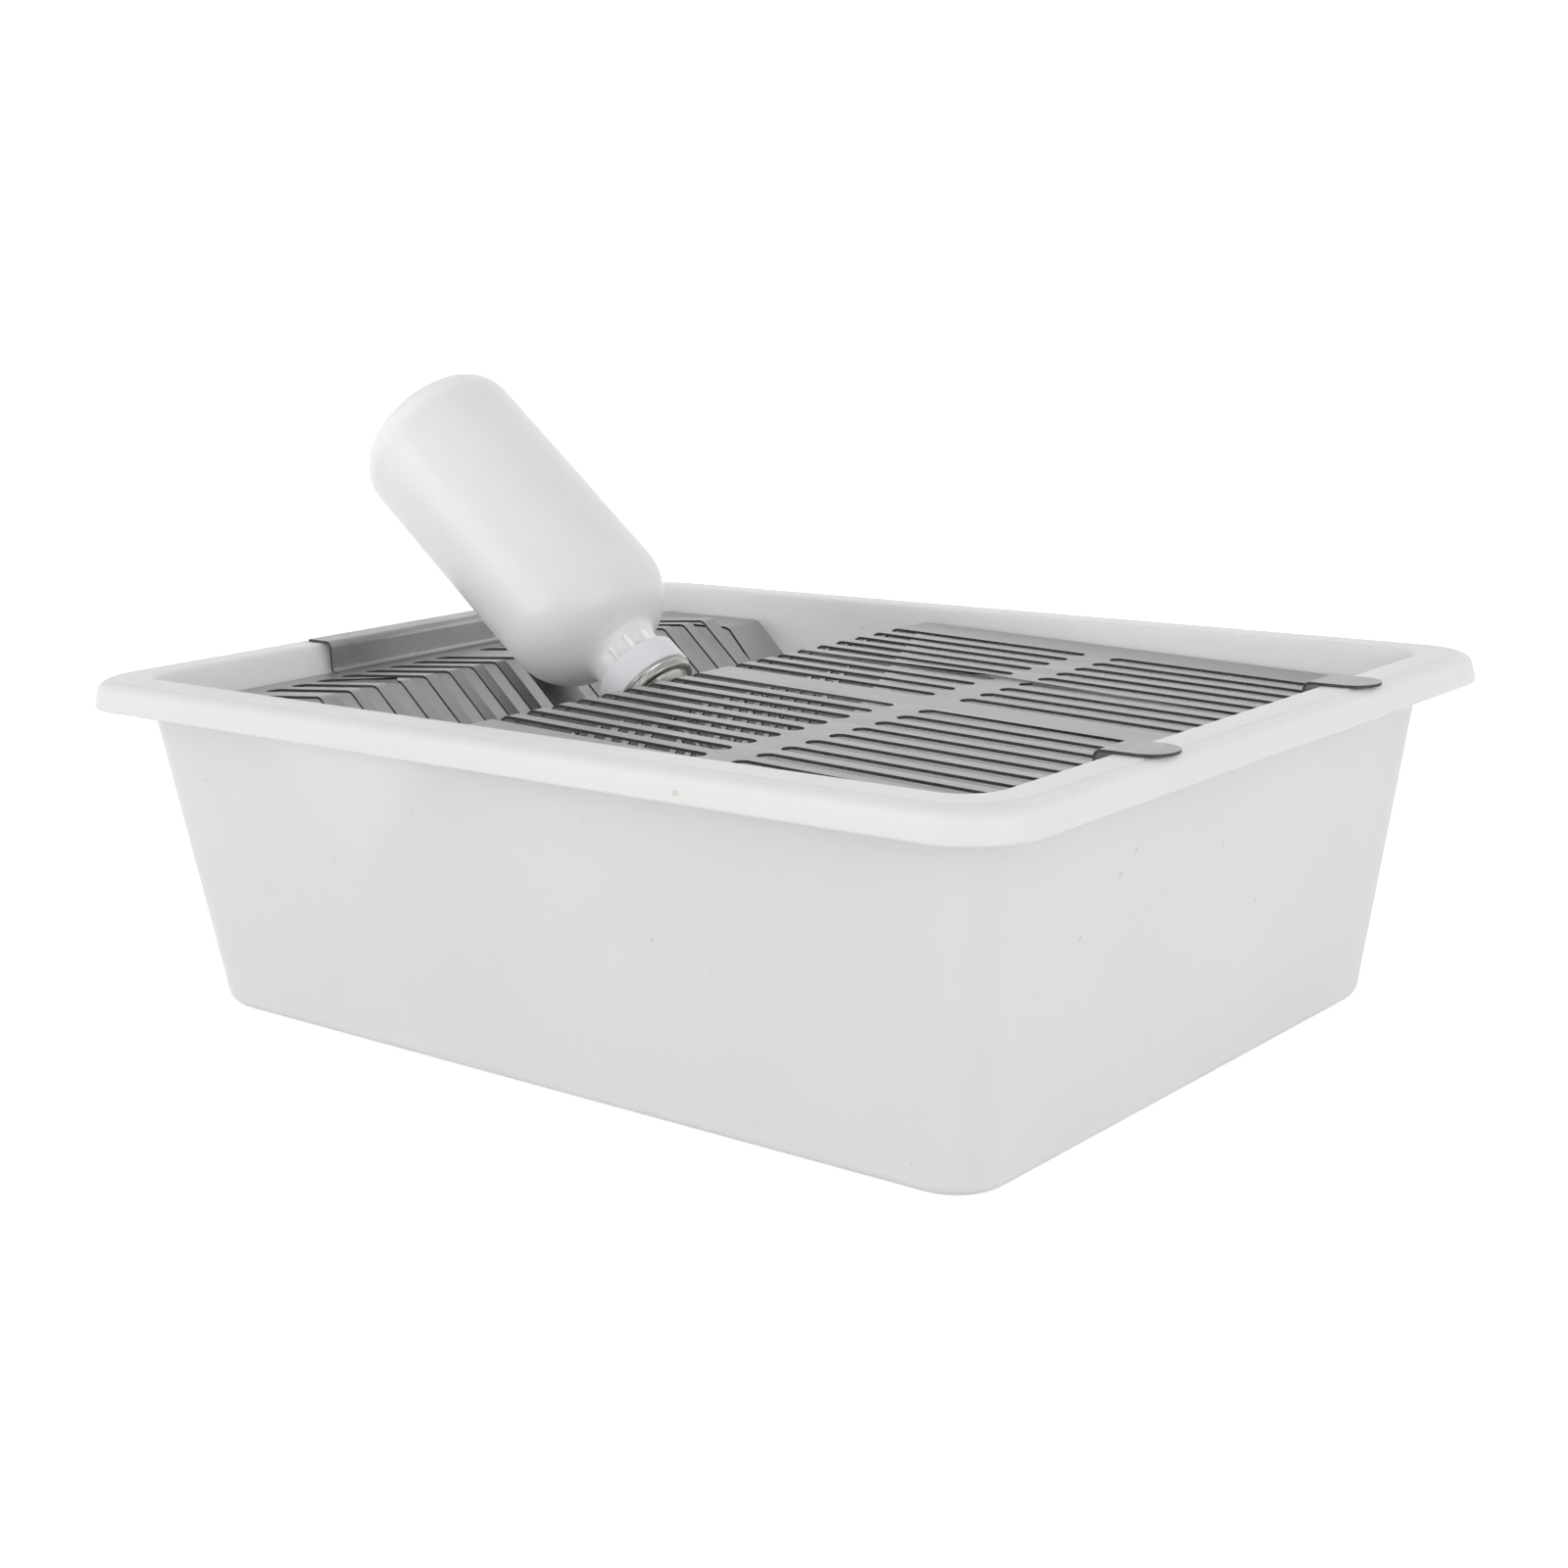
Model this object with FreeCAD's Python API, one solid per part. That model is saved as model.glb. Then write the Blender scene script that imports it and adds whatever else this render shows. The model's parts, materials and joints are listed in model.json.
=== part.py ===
import FreeCAD, Part
import math
import os

# A small-animal laboratory cage: a moulded tub, a lid folded from one slotted steel
# sheet, and a drinking bottle that lies in the lid's trough. Millimetres, +Z up.
# X runs along the tub, the lid's hook end at -X. The origin is the middle of the
# tub's underside.

os.makedirs("parts", exist_ok=True)
V = FreeCAD.Vector

# ---- Tub ----
tub_height = 124.1
rim_length = 405.0
rim_width = 312.4
rim_skirt_height = 10.3
rim_skirt_flare = 1.6
rim_skirt_wall = 2.0
rim_corner_radius = 23.0
rim_edge_radius = 3.6
rim_band_width = 9.55
rim_step = 0.5
mouth_radius = 1.6
wall = 2.6
rim_end_overhang = 16.63
rim_side_overhang = 17.13
corner_radius = 16.0
floor_edge_radius = 5.5
wall_draft = 7.05

# ---- Lid sheet ----
sheet = 1.0
lid_wall_gap = 2.9
lid_side_gap = 5.4
lid_corner_ease = 2.4
hook_width = 105.2
hook_reach = 13.3
hook_bend = 1.8
hook_root = 5.0
ledge_length = 57.3
ledge_rise = 4.5
ledge_drop = 11.1
trough_run = 50.0
trough_depth = 45.0
trough_wall_run = 41.6
trough_wall_rise = 46.9
trough_side_taper = 4.0
grille_end_gap = 4.55
grille_fall = 7.0
fold_radius = 3.5
tab_width = 17.0
tab_spread = 128.0
tab_reach = 23.0
tab_root = 6.5
tab_relief = 1.2

# ---- Slots ----
slot_pitch = 12.0
slot_width = 6.8
slot_side_margin = 19.0
ledge_slot_start = 15.5
trough_slot_end = 18.0
grille_slot_start = 4.5
crossbar_shift = -7.1
crossbar_width = 11.8
grille_end_margin = 8.5
side_slot_width = 3.6
side_slot_length = 17.0
cutter_depth = 3.0

# ---- Bottle ----
bottle_radius = 32.5
bottle_body = 104.9
bottle_base_radius = 11.0
bottle_base_dish = 2.0
shoulder_radius = 24.0
neck_radius = 13.8
neck_fillet = 6.0
neck_setback = 0.4
bottle_wall = 1.5
bottle_seat_gap = 0.9
bottle_tilt_back = 2.8
rib_count = 3
rib_step = 30.0
rib_middle = 32.0
rib_width = 1.8
rib_length = 6.0
rib_height = 1.6

# ---- Collar, cap and drinking tube ----
collar_standoff = 5.7
collar_length = 10.6
collar_top_wall = 3.1
collar_end_wall = 3.3
collar_foot = 2.4
rib_collar_gap = 0.3
neck_clearance = 0.1
cap_rim_gap = 0.1
cap_height = 3.9
cap_taper = 1.2
cap_edge_radius = 1.0
cap_lip = 1.9
cap_recess = 0.4
cap_sheet = 0.9
cap_floor_gap = 0.3
cap_clearance = 0.1
cone_length = 11.2
cone_ledge = 0.8
cone_end_wall = 1.2
cap_seat_gap = 0.5
tube_radius = 4.0
tube_wall = 1.0
tube_length = 45.0
tube_grip = 2.0
tip_length = 8.0
tip_radius = 2.8
tip_wall = 1.2
tube_hole_clearance = 1.5

# ---- Derived sizes ----
draft = math.tan(math.radians(wall_draft))
skirt_bottom = tub_height - rim_skirt_height
rim_top = tub_height - rim_step
floor_length = rim_length - 2 * (rim_end_overhang + draft * skirt_bottom)
floor_width = rim_width - 2 * (rim_side_overhang + draft * skirt_bottom)
half_floor = floor_length / 2
mouth_half_length = half_floor - wall + draft * tub_height + mouth_radius
mouth_half_width = floor_width / 2 - wall + draft * tub_height + mouth_radius

# The lid sheet's upper face, as corners of its folded outline in the XZ plane.
hook_top = tub_height + sheet
ledge_z = tub_height - ledge_drop
wall_at_ledge = half_floor - wall + draft * ledge_z
half_lid = floor_width / 2 - wall + draft * ledge_z - lid_side_gap
lid_corner_radius = corner_radius - wall - lid_corner_ease
slots_each_side = int((half_lid - slot_side_margin) / slot_pitch)
riser_x = -(wall_at_ledge - lid_wall_gap - sheet)
hook_tip = (riser_x - hook_reach, hook_top)
hook_corner = (riser_x, hook_top)
hook_foot = (riser_x, ledge_z)
peak = (riser_x + ledge_length, ledge_z + ledge_rise)
trough_foot = (peak[0] + trough_run, peak[1] - trough_depth)
grille_bend = (trough_foot[0] + trough_wall_run, trough_foot[1] + trough_wall_rise)
grille_end_z = grille_bend[1] - grille_fall
grille_end = (half_floor - wall + draft * grille_end_z - grille_end_gap, grille_end_z)
grille_length = math.dist(grille_bend, grille_end)
tab_start_z = grille_end_z + grille_fall * tab_root / (grille_end[0] - grille_bend[0])
tab_start = (grille_end[0] - tab_root, tab_start_z)
tab_corner = (grille_end[0], hook_top)
tab_tip = (grille_end[0] + tab_reach, hook_top)


# ---- Two-dimensional helpers, on (x, z) pairs ----
def unit(a, b):
    """Direction from a to b."""
    length = math.dist(a, b)
    return ((b[0] - a[0]) / length, (b[1] - a[1]) / length)


def along(a, b, distance):
    """The point at a distance from a, towards b."""
    u = unit(a, b)
    return (a[0] + u[0] * distance, a[1] + u[1] * distance)


def below(a, b):
    """The unit normal of the line a-b that points to its right, the sheet's underside."""
    u = unit(a, b)
    return (u[1], -u[0])


def offset_outline(points, distance):
    """The outline shifted to its right by a distance, with mitred corners."""
    shifted = []
    last = len(points) - 1
    for i, p in enumerate(points):
        n1 = below(points[max(i - 1, 0)], points[max(i, 1)])
        n2 = below(points[min(i, last - 1)], points[min(i + 1, last)])
        share = distance / (1 + n1[0] * n2[0] + n1[1] * n2[1])
        shifted.append((p[0] + (n1[0] + n2[0]) * share, p[1] + (n1[1] + n2[1]) * share))
    return shifted


def turn(a, b, c):
    """Signed turn at b: positive where the outline bends to its left."""
    u, v = unit(a, b), unit(b, c)
    return math.atan2(u[0] * v[1] - u[1] * v[0], u[0] * v[0] + u[1] * v[1])


def rounded_edges(points, radii, y):
    """Straight and arc edges through the points, each inner corner rounded."""
    edges = []
    start = points[0]
    for i in range(1, len(points) - 1):
        a, b, c = points[i - 1:i + 2]
        angle = turn(a, b, c)
        trim = radii[i] * math.tan(abs(angle) / 2)
        entry, leave = along(b, a, trim), along(b, c, trim)
        side = 1 if angle > 0 else -1
        n = below(a, b)
        centre = (entry[0] - n[0] * side * radii[i], entry[1] - n[1] * side * radii[i])
        middle = along(centre, b, radii[i])
        edges.append(Part.LineSegment(V(start[0], y, start[1]), V(entry[0], y, entry[1])).toShape())
        bend = Part.Arc(V(entry[0], y, entry[1]), V(middle[0], y, middle[1]), V(leave[0], y, leave[1]))
        edges.append(bend.toShape())
        start = leave
    end = points[-1]
    edges.append(Part.LineSegment(V(start[0], y, start[1]), V(end[0], y, end[1])).toShape())
    return edges


def folded_strip(points, bends, y_from, y_to):
    """Sheet metal folded along the points; bends are the radii on the hollow side."""
    top_radii, under_radii = [0], [0]
    for i in range(1, len(points) - 1):
        opens_up = turn(*points[i - 1:i + 2]) > 0
        top_radii.append(bends[i] if opens_up else bends[i] + sheet)
        under_radii.append(bends[i] + sheet if opens_up else bends[i])
    under = offset_outline(points, sheet)
    top_edges = rounded_edges(points, top_radii, y_from)
    under_edges = rounded_edges(under, under_radii, y_from)
    caps = []
    for a, b in ((points[0], under[0]), (points[-1], under[-1])):
        caps.append(Part.LineSegment(V(a[0], y_from, a[1]), V(b[0], y_from, b[1])).toShape())
    outline = Part.Wire(Part.__sortEdges__(top_edges + under_edges + caps))
    return Part.Face(outline).extrude(V(0, y_to - y_from, 0))


def prism(points, y_from, y_to):
    """A straight-sided prism over an XZ polygon."""
    corners = [V(x, y_from, z) for x, z in points]
    return Part.Face(Part.makePolygon(corners + corners[:1])).extrude(V(0, y_to - y_from, 0))


def rounded_rectangle(length, width, radius, z):
    """A rounded rectangle about the Z axis, as one wire."""
    x, y = length / 2, width / 2
    corners = ((x, y, 0), (-x, y, 90), (-x, -y, 180), (x, -y, 270))
    edges = []
    ends = []
    for cx, cy, start in corners:
        centre = V(cx - math.copysign(radius, cx), cy - math.copysign(radius, cy), z)
        quarter = Part.makeCircle(radius, centre, V(0, 0, 1), start, start + 90)
        ends.append((quarter.Vertexes[0].Point, quarter.Vertexes[1].Point))
        edges.append(quarter)
    for i in range(4):
        edges.append(Part.LineSegment(ends[i][1], ends[(i + 1) % 4][0]).toShape())
    return Part.Wire(Part.__sortEdges__(edges))


def tapered_block(low, high):
    """A solid between two rounded rectangles, each (length, width, radius, z)."""
    return Part.makeLoft([rounded_rectangle(*low), rounded_rectangle(*high)], True, True)


def flat_edges(solid, z):
    """The edges of a solid that lie wholly at one height."""
    return [e for e in solid.Edges if all(abs(v.Z - z) < 1e-4 for v in e.Vertexes)]


def wall_section(inset, z):
    """The tub wall's rounded rectangle at a height, moved inwards by an inset."""
    grow = 2 * (draft * z - inset)
    return (floor_length + grow, floor_width + grow, corner_radius - inset, z)


def rim_section(inset, z):
    """The rim skirt's rounded rectangle at a height, moved inwards by an inset."""
    lean = rim_skirt_flare * (z - skirt_bottom) / rim_skirt_height
    shrink = 2 * (inset + lean)
    return (rim_length - shrink, rim_width - shrink, rim_corner_radius - inset, z)


def make_tub():
    """Draughted tub with a rounded floor edge and a hollow, downturned rim."""
    body = tapered_block(wall_section(0, 0), wall_section(0, rim_top))
    body = body.makeFillet(floor_edge_radius, flat_edges(body, 0))
    rim = tapered_block(rim_section(0, skirt_bottom), rim_section(0, rim_top))
    rim = rim.makeFillet(rim_edge_radius, flat_edges(rim, rim_top))
    band = [2 * (mouth_half_length + rim_band_width), 2 * (mouth_half_width + rim_band_width)]
    band_radius = corner_radius - wall + mouth_radius + rim_band_width / 2
    rim = rim.fuse(tapered_block((*band, band_radius, skirt_bottom), (*band, band_radius, tub_height)))
    hollow_top = rim_top - wall
    hollow = tapered_block(rim_section(rim_skirt_wall, skirt_bottom), rim_section(rim_skirt_wall, hollow_top))
    shell = body.fuse(rim.cut(hollow))
    cavity = tapered_block(wall_section(wall, wall), wall_section(wall, tub_height))
    cavity = cavity.makeFillet(floor_edge_radius - wall, flat_edges(cavity, wall))
    shell = shell.cut(cavity).removeSplitter()
    inner_half = wall_section(wall, tub_height)[0] / 2 + 0.01
    inner_side = wall_section(wall, tub_height)[1] / 2 + 0.01
    mouth = [e for e in flat_edges(shell, tub_height) if e.BoundBox.XMax < inner_half
             and e.BoundBox.XMin > -inner_half and abs(e.BoundBox.Center.y) < inner_side]
    return shell.makeFillet(mouth_radius, mouth)


# ---- Lid ----
fold_line = [hook_foot, peak, trough_foot, grille_bend, grille_end]
fold_bends = [0, fold_radius, fold_radius, fold_radius, 0]


def bisector_cut(a, b, c, keep_before):
    """A half-space block that ends on the plane halving the fold at b."""
    n1, n2 = below(a, b), below(b, c)
    across = unit((0, 0), (n1[0] + n2[0], n1[1] + n2[1]))
    ahead = (-across[1], across[0])
    reach = 600.0
    away = -1 if keep_before else 1
    corners = []
    for k, m in ((-1, 0), (1, 0), (1, 1), (-1, 1)):
        x = b[0] + across[0] * reach * k + ahead[0] * reach * m * away
        z = b[1] + across[1] * reach * k + ahead[1] * reach * m * away
        corners.append((x, z))
    return prism(corners, -2 * half_lid, 2 * half_lid)


def sheet_band(centres):
    """An XZ polygon that holds the sheet along a line of points, with room on both faces."""
    upper = offset_outline(centres, -cutter_depth)
    return upper + offset_outline(centres, cutter_depth + sheet)[::-1]


def slot_cutter(centres, y, width):
    """A round-ended slot that follows the sheet through the given centre line."""
    cutter = prism(sheet_band(centres), y - width / 2, y + width / 2)
    for end, inner in ((centres[0], centres[1]), (centres[-1], centres[-2])):
        n = below(end, inner)
        base = V(end[0] - n[0] * 2 * cutter_depth, y, end[1] - n[1] * 2 * cutter_depth)
        cutter = cutter.fuse(Part.makeCylinder(width / 2, 4 * cutter_depth, base, V(n[0], 0, n[1])))
    return cutter


def slot_rows():
    """Centre lines of the slots: over the ledge and trough, and two rows on the grille."""
    end = slot_width / 2
    ledge_start = along(hook_foot, peak, ledge_slot_start + end)
    wall_end = along(grille_bend, trough_foot, trough_slot_end + end)
    over_start = along(grille_bend, trough_foot, grille_slot_start + end)
    bar_middle = grille_length / 2 + crossbar_shift
    bar_start = along(grille_bend, grille_end, bar_middle - crossbar_width / 2 - end)
    bar_end = along(grille_bend, grille_end, bar_middle + crossbar_width / 2 + end)
    last = along(grille_end, grille_bend, grille_end_margin + end)
    trough_row = [ledge_start, peak, trough_foot, wall_end]
    return trough_row, [over_start, grille_bend, bar_start], [bar_end, last]


def side_slot_cutter(side):
    """The narrow slot beside the trough's slots, tapering to a point down the slope."""
    y = side * slots_each_side * slot_pitch
    n = below(peak, trough_foot)
    tip = along(peak, trough_foot, side_slot_length)
    inner, outer = y - side * side_slot_width / 2, y + side * side_slot_width / 2
    corners = [V(peak[0], inner, peak[1]), V(peak[0], outer, peak[1]), V(tip[0], outer, tip[1])]
    lift = V(-n[0] * cutter_depth, 0, -n[1] * cutter_depth)
    raised = [c + lift for c in corners]
    return Part.Face(Part.makePolygon(raised + raised[:1])).extrude(-lift * 3)


def trough_side_cutter(side):
    """Trims the trough's edges inwards as they go down, like the tub wall beside them."""
    edge = side * half_lid
    narrow = side * (half_lid - trough_side_taper)
    low = trough_foot[1] - fold_radius
    ends = ((edge, grille_bend[1]), (narrow, low), (edge + side * cutter_depth, low))
    corners = [V(peak[0], y, z) for y, z in ends] + [V(peak[0], edge + side * cutter_depth, grille_bend[1])]
    return Part.Face(Part.makePolygon(corners + corners[:1])).extrude(V(grille_bend[0] - peak[0], 0, 0))


def corner_cutter(end, way, side):
    """Rounds a corner of the lid to lie inside the tub's rounded corner."""
    size = lid_corner_radius
    x, y = end[0] - way * size, side * (half_lid - size)
    height = 8 * cutter_depth
    base = end[1] - height / 2
    block = Part.makeBox(2 * size, 2 * size, height)
    block.translate(V(min(x, x + way * 2 * size), min(y, y + side * 2 * size), base))
    return block.cut(Part.makeCylinder(size, height, V(x, y, base)))


def tube_axis_foot():
    """Where the bottle's axis meets the trough wall's upper face, and its direction."""
    slope = unit(peak, trough_foot)
    tilt = math.atan2(-slope[1], slope[0]) - math.radians(bottle_tilt_back)
    down = (math.cos(tilt), -math.sin(tilt))
    off = bottle_radius + bottle_seat_gap
    origin = (peak[0] - down[1] * off, peak[1] + down[0] * off)
    w = unit(trough_foot, grille_bend)
    gap = (trough_foot[0] - origin[0], trough_foot[1] - origin[1])
    distance = (gap[0] * w[1] - gap[1] * w[0]) / (down[0] * w[1] - down[1] * w[0])
    return (origin[0] + down[0] * distance, origin[1] + down[1] * distance), down


def make_lid():
    """The folded, slotted sheet, divided at its folds into flat panels."""
    body = folded_strip(fold_line, fold_bends, -half_lid, half_lid)
    trough_row, over_row, far_row = slot_rows()
    for side in (-1, 1):
        for i in range(1, slots_each_side + 1):
            y = side * i * slot_pitch
            if i < slots_each_side:
                body = body.cut(slot_cutter(trough_row, y, slot_width))
            body = body.cut(slot_cutter(over_row, y, slot_width))
            body = body.cut(slot_cutter(far_row, y, slot_width))
        body = body.cut(side_slot_cutter(side))
        body = body.cut(trough_side_cutter(side))
        tab_y = side * tab_spread / 2
        notch_half = tab_width / 2 + tab_relief
        notch = [tab_start, along(tab_start, grille_end, 2 * tab_root)]
        body = body.cut(prism(sheet_band(notch), tab_y - notch_half, tab_y + notch_half))
        body = body.cut(corner_cutter(hook_foot, -1, side))
        body = body.cut(corner_cutter(grille_end, 1, side))
    root = [along(hook_foot, peak, -hook_root), along(hook_foot, peak, hook_root)]
    notch = prism(sheet_band(root), -hook_width / 2, hook_width / 2)
    body = body.cut(notch)
    hole, direction = tube_axis_foot()
    start = V(hole[0] - direction[0] * cutter_depth, 0, hole[1] - direction[1] * cutter_depth)
    bore = Part.makeCylinder(tube_hole_radius, 2 * cutter_depth + sheet, start, V(direction[0], 0, direction[1]))
    body = body.cut(bore)
    names = ("ledge_panel", "trough_slope", "trough_wall", "top_grille")
    panels = {}
    for i, name in enumerate(names):
        panel = body
        if i > 0:
            panel = panel.common(bisector_cut(*fold_line[i - 1:i + 2], keep_before=False))
        if i < len(names) - 1:
            panel = panel.common(bisector_cut(*fold_line[i:i + 3], keep_before=True))
        panels[name] = panel.removeSplitter()
    return panels


def make_hook():
    """The riser and flange that hang the lid on the tub's end rim."""
    root = along(hook_foot, peak, hook_root)
    bends = [0, hook_bend, hook_bend, 0]
    return folded_strip([hook_tip, hook_corner, hook_foot, root], bends, -hook_width / 2, hook_width / 2)


def make_tab(side):
    """A tab: a riser from the grille's end and a round tongue over the rim."""
    y = side * tab_spread / 2
    half = tab_width / 2
    line = [tab_start, grille_end, tab_corner, tab_tip]
    tab = folded_strip(line, [0, hook_bend, hook_bend, 0], y - half, y + half)
    corner = Part.makeBox(half, tab_width, 4 * sheet, V(tab_tip[0] - half, y - half, hook_top - 2 * sheet))
    disc = Part.makeCylinder(half, 4 * sheet, V(tab_tip[0] - half, y, hook_top - 2 * sheet))
    return tab.cut(corner.cut(disc))


# ---- Bottle set, made along +X from the shoulder's start, then laid in the trough ----
dome_centre = bottle_radius - shoulder_radius
neck_rise = neck_radius + neck_fillet - dome_centre
dome_turn = math.acos(neck_rise / (shoulder_radius + neck_fillet))
neck_root = (shoulder_radius + neck_fillet) * math.sin(dome_turn)
collar_top_radius = neck_radius + collar_top_wall
collar_end_radius = neck_radius + collar_end_wall
cap_end_radius = collar_end_radius - cap_taper
cap_slope = cap_taper / cap_height
tube_hole_radius = tube_radius + tube_hole_clearance
cone_end_radius = tube_hole_radius + cone_ledge
tip_bore = tip_radius - tip_wall
collar_start = neck_root + collar_standoff
collar_end = collar_start + collar_length
neck_end = collar_end - neck_setback
foot_end = collar_end + collar_foot
cap_start = collar_end + cap_rim_gap
cap_end = cap_start + cap_height
cap_floor = foot_end + cap_floor_gap
cone_tip = cap_end + cone_length
tube_start = cone_tip - cone_end_wall - tube_grip
tube_end = cap_end + tube_length


def line(a, b):
    """A straight edge between two (axial, radial) points."""
    return Part.LineSegment(V(*a, 0), V(*b, 0)).toShape()


def arc(a, middle, b):
    """An arc edge through three (axial, radial) points."""
    return Part.Arc(V(*a, 0), V(*middle, 0), V(*b, 0)).toShape()


def on_circle(centre, radius, turn):
    """The (axial, radial) point of a circle, turned from its outermost point towards +X."""
    return centre[0] + radius * math.sin(turn), centre[1] + radius * math.cos(turn)


def revolved(edges):
    """A solid of revolution about the X axis from a closed (axial, radial) profile."""
    face = Part.Face(Part.Wire(Part.__sortEdges__(edges)))
    return face.revolve(V(0, 0, 0), V(1, 0, 0), 360)


def turned(points):
    """A solid of revolution about the X axis from a closed polygon."""
    ring = points + points[:1]
    return revolved([line(ring[i], ring[i + 1]) for i in range(len(points))])


def bottle_outline(inset, mouth):
    """The bottle's filled shape, moved inwards by an inset, up to its mouth."""
    radius = bottle_radius - inset
    neck = neck_radius - inset
    base = inset - bottle_body
    corner = bottle_base_radius - inset
    centre = (base + corner, radius - corner)
    bulge = corner * math.sin(math.radians(45))
    dish = base + bottle_base_dish
    foot = centre[1] * 0.8
    dish_edge = foot - bottle_base_dish
    def dome(turn):
        return on_circle((0, dome_centre), shoulder_radius - inset, turn)

    def hollow(turn):
        return on_circle((neck_root, neck_radius + neck_fillet), -neck_fillet - inset, turn)

    return revolved([
        line((dish, 0), (dish, dish_edge)),
        line((dish, dish_edge), (base, foot)),
        line((base, foot), (base, centre[1])),
        arc((base, centre[1]), (centre[0] - bulge, centre[1] + bulge), (centre[0], radius)),
        line((centre[0], radius), (0, radius)),
        arc((0, radius), dome(dome_turn / 2), dome(dome_turn)),
        arc(dome(dome_turn), hollow(dome_turn / 2), (neck_root, neck)),
        line((neck_root, neck), (mouth, neck)),
        line((mouth, neck), (mouth, 0)),
        line((mouth, 0), (dish, 0)),
    ])


def make_bottle():
    """Blown bottle: dished base, domed shoulder, and a neck with locating ribs at its root."""
    outer = bottle_outline(0, neck_end)
    swollen = bottle_outline(-rib_height, collar_start)
    for group in (0, 180):
        for i in range(rib_count):
            angle = rib_middle + group + (i - (rib_count - 1) / 2) * rib_step
            slab = Part.makeBox(rib_length, rib_width, bottle_radius)
            slab.translate(V(collar_start - rib_collar_gap - rib_length, -rib_width / 2, 0))
            slab.rotate(V(0, 0, 0), V(1, 0, 0), angle)
            outer = outer.fuse(slab.common(swollen))
    inner = bottle_outline(bottle_wall, neck_end + bottle_wall)
    return outer.cut(inner).removeSplitter()


def make_collar():
    """Soft sleeve on the neck, with its foot inside the cap."""
    foot_top = collar_end_radius - cap_sheet - cap_clearance
    foot_low = foot_top - cap_slope * collar_foot
    bore = neck_radius + neck_clearance
    return turned([
        (collar_start, bore),
        (collar_start, collar_top_radius),
        (collar_end, collar_end_radius),
        (collar_end, foot_top),
        (foot_end, foot_low),
        (foot_end, bore),
    ])


def make_cap():
    """Pressed steel cup with a rolled lip and a cone that sits in the trough wall."""
    recess_radius = cap_end_radius - cap_lip - cap_recess
    cone_slope = (recess_radius - cone_end_radius) / (cone_length + cap_recess)
    cone_wall = cap_sheet / math.cos(math.atan(cone_slope))
    inner_end = cone_tip - cone_end_wall
    inner_radius = cone_end_radius + cone_slope * cone_end_wall - cone_wall
    floor_radius = inner_radius + cone_slope * (inner_end - cap_floor)
    cup = turned([
        (cap_start, collar_end_radius),
        (cap_end, cap_end_radius),
        (cap_end, cap_end_radius - cap_lip),
        (cap_end - cap_recess, recess_radius),
        (cone_tip, cone_end_radius),
        (cone_tip, tube_radius),
        (inner_end, tube_radius),
        (inner_end, inner_radius),
        (cap_floor, floor_radius),
        (cap_floor, collar_end_radius - cap_sheet - cap_slope * (cap_floor - cap_start)),
        (cap_start, collar_end_radius - cap_sheet),
    ])
    rim = [e for e in cup.Edges if e.Closed and abs(e.BoundBox.ZMax - cap_end_radius) < 1e-3]
    return cup.makeFillet(cap_edge_radius, rim)


def make_tube():
    """Drinking tube, drawn down to a small hole at its tip."""
    bore = tube_radius - tube_wall
    neck_in = tube_end - tip_length
    return turned([
        (tube_start, bore),
        (tube_start, tube_radius),
        (neck_in, tube_radius),
        (tube_end, tip_radius),
        (tube_end, tip_bore),
        (neck_in, bore),
    ])


def lay_in_trough(solid):
    """Turns a piece made along +X to the bottle's slope and seats the cone at its hole."""
    hole, direction = tube_axis_foot()
    slope = math.degrees(math.atan2(-direction[1], direction[0]))
    back = cone_tip + cap_seat_gap
    placed = solid.copy()
    placed.rotate(V(0, 0, 0), V(0, 1, 0), slope)
    placed.translate(V(hole[0] - direction[0] * back, 0, hole[1] - direction[1] * back))
    return placed


nodes = {"tub": make_tub(), "hook_flange": make_hook()}
nodes.update(make_lid())
nodes["front_tab"] = make_tab(-1)
nodes["rear_tab"] = make_tab(1)
nodes["bottle"] = lay_in_trough(make_bottle())
nodes["sealing_collar"] = lay_in_trough(make_collar())
nodes["steel_cap"] = lay_in_trough(make_cap())
nodes["sipper_tube"] = lay_in_trough(make_tube())

for name, shape in nodes.items():
    box = shape.BoundBox
    print(f"{name}: solids {len(shape.Solids)} valid {shape.isValid()} volume {shape.Volume:.0f}")
    print(f"  x {box.XMin:.1f}..{box.XMax:.1f} y {box.YMin:.1f}..{box.YMax:.1f} z {box.ZMin:.1f}..{box.ZMax:.1f}")
    shape.exportStep(f"parts/{name}.step")
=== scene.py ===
import json
import math

import bmesh
import bpy
from mathutils import Matrix, Quaternion, Vector


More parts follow.
